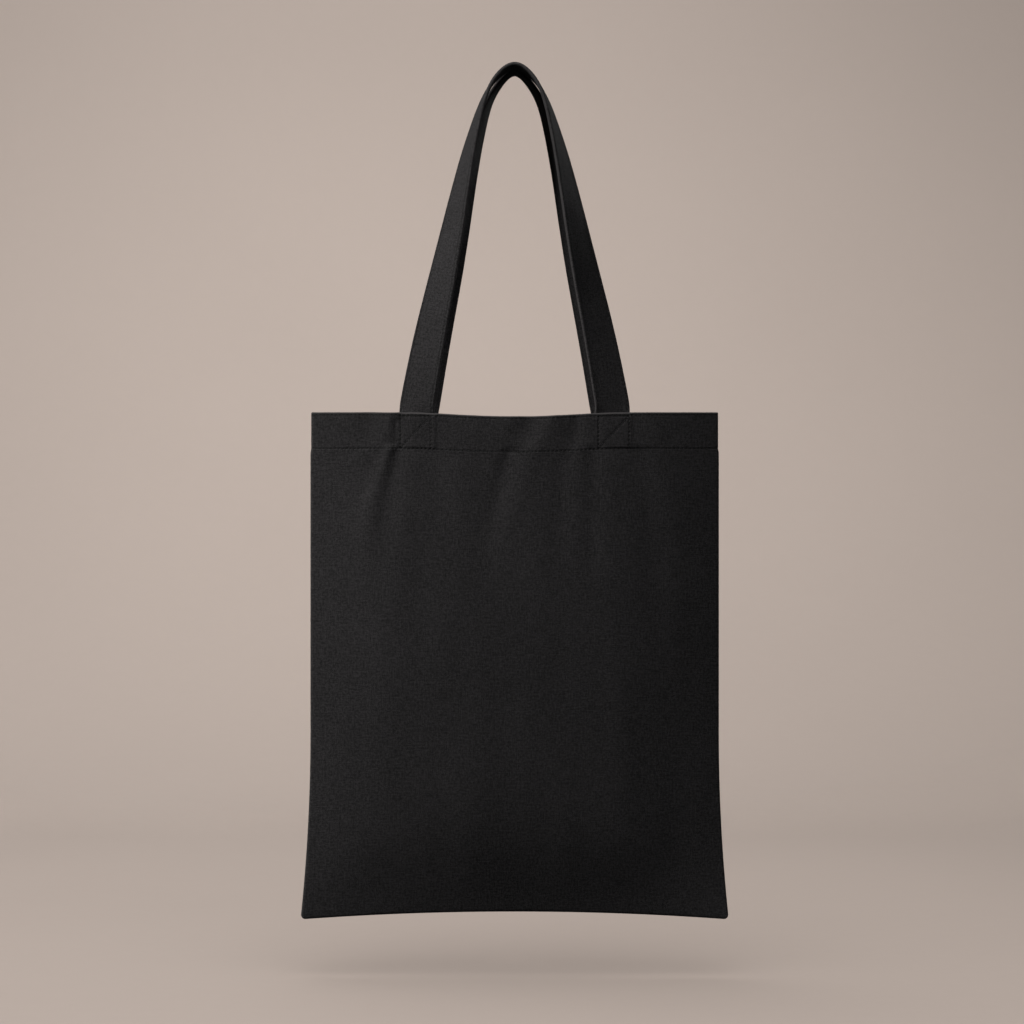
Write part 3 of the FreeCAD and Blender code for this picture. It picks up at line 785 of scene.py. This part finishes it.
def strapFrames(side, count):                   # middle, width way and face way along one strap
    inset = strap["rearInset"] if side > 0 else 0.0
    leg = np.array([(-(spread - inset), -drop) for spread, drop in strapRoute])
    route = np.concatenate([leg, [(0.0, strap["thick"] / 2 + strap["clear"])], leg[::-1] * (-1, 1)])
    places = arcLengths(route)
    line = smoothThrough(places, route, np.linspace(0, places[-1], 2000))
    lengths = arcLengths(line)
    at = np.linspace(0, lengths[-1], count)
    x, z = (np.interp(at, lengths, line[:, axis]) for axis in (0, 1))
    runX, runZ = np.gradient(x, at), np.gradient(z, at)
    size = np.hypot(runX, runZ)
    runX, runZ = runX / size, runZ / size
    share = 1 - np.abs(2 * at / lengths[-1] - 1)    # 0 at both ends, 1 at the arch
    squared = np.clip(share / 0.05, 0, 1)       # the strap leaves the hem straight up
    upright = np.where(at < lengths[-1] / 2, 1.0, -1.0)
    runX, runZ = runX * squared, runZ * squared + upright * (1 - squared)
    size = np.hypot(runX, runZ)
    inward = np.stack([runZ / size, np.zeros(count), -runX / size], axis=1)
    outward = np.array([0.0, side, 0.0])
    baseY = float(np.abs(panelForm(np.array([strap["spread"]]), level(0.002, 1), -1)[0, 1]))
    baseY -= 2 * body["hemRoll"] + strap["thick"] / 2 + strap["clear"]
    archY = 0.00015 + strap["wide"] / 2         # the two straps' edges nearly meet at the arch
    y = side * (baseY + (archY - baseY) * share)
    slow = 0.94 if side < 0 else 1.0            # the right leg of the front strap turns a little less
    turnShare = share ** 1.2 * (1 + 0.075 - 0.075 * share ** 16)
    turnShare = np.where(x > 0, turnShare * (slow + (1 - slow) * share), turnShare)
    baseTurn = math.radians(strap["baseTurn"])
    turn = baseTurn + (math.radians(90) - baseTurn) * turnShare
    cos, sin = np.cos(turn)[:, None], np.sin(turn)[:, None]
    middle = np.stack([x, y, z], axis=1)
    return middle, inward * cos + outward * sin, outward * cos - inward * sin


def strapProfile():                             # half thickness across the strap, grooved along its sewing
    nearEdge = np.array([15.0, 14.85, 14.5, 14.0, 13.5, 13.1, 12.9, 12.7, 12.5, 12.3, 12.0, 11.4])
    places = np.concatenate([-nearEdge, np.linspace(-10, 10, 11), nearEdge[::-1]]) / 1000
    fromEdge = strap["wide"] / 2 - np.abs(places)
    half = strap["thick"] / 2
    rounded = half * np.sqrt(np.clip(1 - (1 - np.clip(fromEdge / strap["edgeRound"], 0, 1)) ** 2, 0, 1))
    groove = strap["groove"] * trough(fromEdge, strap["rowInset"], strap["grooveWide"])
    soft = 0.00022 * trough(fromEdge, 0.0060, 0.0032)
    return places, np.maximum(rounded - groove - soft, 0.0)


endCount = 14                                   # rings in each sewn end


def sewnEnd(centre, side):                      # a strap's end against the facing, inside the hem
    drops = np.linspace(strap["ends"], 0.0035, endCount) / panelTall
    x = np.full(endCount, centre)
    normal = panelNormal(x, drops, side)
    inside = 2 * body["hemRoll"] + strap["thick"] / 2 + strap["clear"]
    point = panelForm(x, drops, side) - normal * inside
    lean = strap["endLean"] * (side if centre < 0 else -side)
    width = np.tile([math.cos(lean), math.sin(lean), 0.0], (endCount, 1))
    width = width - normal * np.sum(width * normal, axis=1, keepdims=True)
    width /= np.linalg.norm(width, axis=1, keepdims=True)
    return point, width * (1 if centre < 0 else -1), normal


def makeStrap(name, side):
    middle, widthWay, faceWay = strapFrames(side, 300)
    first = sewnEnd(-strap["spread"], side)
    last = [part[::-1] for part in sewnEnd(strap["spread"], side)]
    middle = np.concatenate([first[0], middle[1:-1], last[0]])
    widthWay = np.concatenate([first[1], widthWay[1:-1], last[1]])
    faceWay = np.concatenate([first[2], faceWay[1:-1], last[2]])
    count = len(middle)
    bends = ((endCount - 4, endCount + 12), (count - endCount - 12, count - endCount + 4))
    for _ in range(6):                          # ease the bend where the strap leaves the hem
        for part in (middle, widthWay, faceWay):
            for start, stop in bends:
                part[start:stop] = (0.25 * part[start - 1:stop - 1] + 0.5 * part[start:stop]
                                    + 0.25 * part[start + 1:stop + 1])
    widthWay /= np.linalg.norm(widthWay, axis=1, keepdims=True)
    faceWay /= np.linalg.norm(faceWay, axis=1, keepdims=True)
    places, half = strapProfile()
    loopPlaces = np.concatenate([places, places[-2:0:-1]])
    loopFaces = np.concatenate([half, -half[-2:0:-1]])
    along = arcLengths(middle)
    halfStrap = strap["wide"] / 2
    sway = 0.00025 * np.sin(along * 60 + side) + 0.0002 * np.sin(along * 143 + 2 * side)    # not quite flat
    sway = sway * ease((along - 0.05) / 0.03) * ease((along[-1] - 0.05 - along) / 0.03)
    crown = loopFaces[None, :] + sway[:, None] * (1 - (loopPlaces / halfStrap) ** 2)[None, :]
    points = (middle[:, None, :] + widthWay[:, None, :] * loopPlaces[None, :, None]
              + faceWay[:, None, :] * crown[:, :, None])
    rings, ringSize = points.shape[:2]
    faces = [tuple(face) for face in gridFaces(rings, ringSize, closeColumns=True)]
    faces.append(tuple(range(ringSize))[::-1])
    faces.append(tuple(range((rings - 1) * ringSize, rings * ringSize)))
    wrap = np.concatenate([places, 2 * strap["wide"] - places[-2:0:-1]])
    uvs = np.stack(np.broadcast_arrays(wrap[None, :], along[:, None]), axis=-1)
    # the strap's edges painted pale: wear and a painted edge highlight
    wearAndPaintedLight = np.tile(paleEdges["strap"] * np.exp(-(halfStrap - np.abs(loopPlaces)) / paleEdges["strapWide"]), rings)
    made = addMesh(name, points.reshape(-1, 3), faces, uvs.reshape(-1, 2), strapCloth, wearAndPaintedLight)
    return made, (middle, widthWay, faceWay)


def strapRows(name, side, lines, place):
    middle, widthWay, faceWay = lines
    keep = slice(endCount - 2, len(middle) - endCount + 2)
    depth = strap["thick"] / 2 - sewing["thick"]
    runs = []
    for face in (1, -1):
        path = middle[keep] + widthWay[keep] * place + faceWay[keep] * (face * depth)
        runs.append((path, faceWay[keep] * face))
    return sewRow(name, runs)


strapRowPlace = strap["wide"] / 2 - strap["rowInset"]
for label, side in (("front", -1), ("back", 1)):
    made, lines = makeStrap(f"{label}Strap", side)
    outerRow = strapRows(f"{label}StrapOuterSewing", side, lines, -strapRowPlace)
    innerRow = strapRows(f"{label}StrapInnerSewing", side, lines, strapRowPlace)
    for piece in (made, outerRow, innerRow):
        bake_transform(piece)
    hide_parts(f"{label}_handle", f"{label}_handle_left_end", f"{label}_handle_right_end")
    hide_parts(f"{label}_handle_outer_stitching")
    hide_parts(f"{label}_handle_inner_stitching")
print("straps made")


studio = {                       # floor, light and camera
    "floor": body["base"] - 0.047,
    "paper": (0.500, 0.425, 0.382, 1),
    "camera": (-0.0022, -2.330, -0.3648),
    "lens": 99.0,
    "daylight": (1.0, 0.985, 0.97),
    "air": 0.035,                # what little light comes from all round
    "farPaper": (0.34, 0.286, 0.256, 1),
}


def makeBackdrop():
    mill = Mill("StudioPaper")
    place = mill.make("TexCoord", {}, {}, out=3)
    mottle = mill.noise(place, 1.6, 4.0, 0.6)
    fine = mill.noise(place, 60.0, 3.0, 0.6)
    colour = mill.mixColour(mottle * 0.5 + fine * 0.2, shaded(studio["paper"], 0.93),
                            shaded(studio["paper"], 1.07))
    paper = mill.finish({"Base Color": colour, "Roughness": 0.9, "Specular IOR Level": 0.15})
    bend = [(-4.0, 0.0)]
    for angle in np.linspace(0, math.pi / 2, 24):
        bend.append((1.0 + 1.2 * math.sin(angle), 1.2 - 1.2 * math.cos(angle)))
    bend.append((2.2, 4.5))
    points = [(x, y, studio["floor"] + rise) for y, rise in bend for x in (-5.0, 5.0)]
    faces = gridFaces(len(bend), 2)
    sweep = addMesh("studioSweep", points, faces, [(x, y) for x, y, _ in points], paper)
    sweep.visible_diffuse = False               # the paper throws no light back up at the bag
    sweep.visible_glossy = False
    return sweep


def addLight(name, place, target, size, power, colour, onPaper, spread=180):
    data = bpy.data.lights.new(name, "AREA")
    data.shape = "RECTANGLE"
    data.size, data.size_y = size
    data.energy = power
    data.color = colour
    data.spread = math.radians(spread)
    lamp = bpy.data.objects.new(name, data)
    bpy.context.scene.collection.objects.link(lamp)
    lamp.location = place
    lamp.rotation_euler = (Vector(target) - Vector(place)).to_track_quat("-Z", "Y").to_euler()
    lit = bpy.data.collections.new(f"{name}Lights")
    lit.objects.link(sweep)                     # each light is for the paper alone, or for all but the paper
    lamp.light_linking.receiver_collection = lit
    if not onPaper:
        lit.collection_objects[0].light_linking.link_state = "EXCLUDE"
    return lamp


sweep = makeBackdrop()
bagMiddle = (0, 0, -0.4)
daylight = studio["daylight"]
addLight("keyLight", (-2.0, -1.1, 1.8), bagMiddle, (1.4, 1.4), 108.0, (1.0, 0.985, 0.965), False)
addLight("fillLight", (0.9, -2.3, 1.5), bagMiddle, (1.8, 1.8), 15.0, (0.98, 0.99, 1.0), False)
addLight("backLight", (1.2, 2.4, 1.4), bagMiddle, (1.8, 1.8), 85.0, (1.0, 0.99, 0.98), False)
addLight("floorLight", (-0.4, -0.1, 1.5), (-0.15, 0.1, -0.7), (3.0, 2.4), 33.0, daylight, True)
glow = addLight("glowLight", (-0.5, -0.3, 2.6), (-0.15, 0.7, -0.6), (3.0, 2.2), 57.0, daylight, True)
spot = addLight("wallLight", (-0.25, -1.6, 2.0), (-0.12, 2.2, 0.05), (0.8, 0.8), 5.5, daylight, True, 52)
far = addLight("farLight", (0.0, -3.2, 2.0), (0.0, -2.9, -0.7), (6.0, 2.0), 45.0, daylight, True)
for lamp in (glow, spot, far):                  # the bag casts no shadow from these
    lamp.light_linking.blocker_collection = lamp.light_linking.receiver_collection
world = bpy.data.worlds.new("studioAir")
world.use_nodes = True
air = world.node_tree
dimAir = air.nodes["Background"]
dimAir.inputs[0].default_value = (1.0, 0.98, 0.96, 1)
dimAir.inputs[1].default_value = studio["air"]
farPaper = air.nodes.new("ShaderNodeBackground")    # what is seen past the end of the paper
farPaper.inputs[0].default_value = studio["farPaper"]
seen = air.nodes.new("ShaderNodeLightPath")
choose = air.nodes.new("ShaderNodeMixShader")
air.links.new(seen.outputs["Is Camera Ray"], choose.inputs[0])
air.links.new(dimAir.outputs[0], choose.inputs[1])
air.links.new(farPaper.outputs[0], choose.inputs[2])
air.links.new(choose.outputs[0], air.nodes["World Output"].inputs[0])
bpy.context.scene.world = world
bpy.context.scene.view_settings.view_transform = "Standard"

lensData = bpy.data.cameras.new("frontCamera")
lensData.lens = studio["lens"]
lensData.sensor_width = 36.0
camera = bpy.data.objects.new("frontCamera", lensData)
camera.location = studio["camera"]
camera.rotation_euler = (math.pi / 2, 0, 0)
bpy.context.scene.collection.objects.link(camera)
bpy.context.scene.camera = camera
print("studio set")
